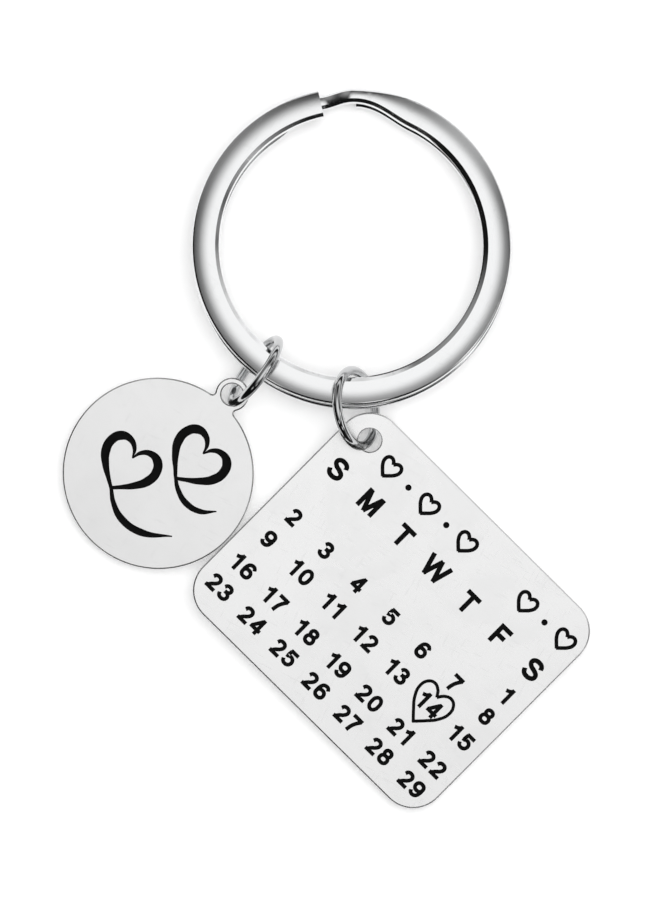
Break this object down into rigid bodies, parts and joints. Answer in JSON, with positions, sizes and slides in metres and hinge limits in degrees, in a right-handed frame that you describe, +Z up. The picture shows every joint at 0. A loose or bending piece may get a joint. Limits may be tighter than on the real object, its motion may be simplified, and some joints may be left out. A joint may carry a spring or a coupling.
{
  "type": "calendar keychain",
  "caption": "Split key ring that carries a round tag and a rounded rectangular calendar tag, each on its own jump ring.",
  "frame": {"origin": "middle of the footprint, on the surface that the keychain lies on", "axes": "+Z up out of that surface, which is the way the engraved faces look; +Y from the tags towards the split ring; +X to the right, with the faces read from above and the split ring at the top"},
  "size_m": [0.0495, 0.0676, 0.0078],
  "materials": {
    "ring_steel": "polished steel, faces slightly worn",
    "bright_wire": "mirror-bright plated wire",
    "tag_steel": "fine satin stainless steel with polished rims"
  },
  "bodies": {
    "split_ring": {"split_ring": "ring_steel"},
    "calendar_jump_ring": {"calendar_jump_ring": "bright_wire"},
    "calendar_tag": {"calendar_tag": "tag_steel"},
    "disc_jump_ring": {"disc_jump_ring": "bright_wire"},
    "disc_tag": {"disc_tag": "tag_steel"}
  },
  "joints": [
    {"name": "calendar_jump_swing", "type": "hinge", "parent": "split_ring", "child": "calendar_jump_ring", "pos_m": [0.00226, 0.01881, 0.00218], "axis": [0.0251, 0.0729, 0.997], "range_deg": [0, 100]},
    {"name": "calendar_tag_swing", "type": "hinge", "parent": "calendar_jump_ring", "child": "calendar_tag", "pos_m": [0.00394, 0.00081, 0.00228], "axis": [0.0062, -0.0477, 0.9988], "range_deg": [0, 45]},
    {"name": "disc_jump_swing", "type": "hinge", "parent": "split_ring", "child": "disc_jump_ring", "pos_m": [0.00226, 0.01881, 0.00218], "axis": [0.0251, 0.0729, 0.997], "range_deg": [-100, 0]},
    {"name": "disc_tag_swing", "type": "hinge", "parent": "disc_jump_ring", "child": "disc_tag", "pos_m": [-0.00892, 0.0051, 0.00232], "axis": [-0.0613, -0.0651, 0.996], "range_deg": [-45, 0]}
  ]
}
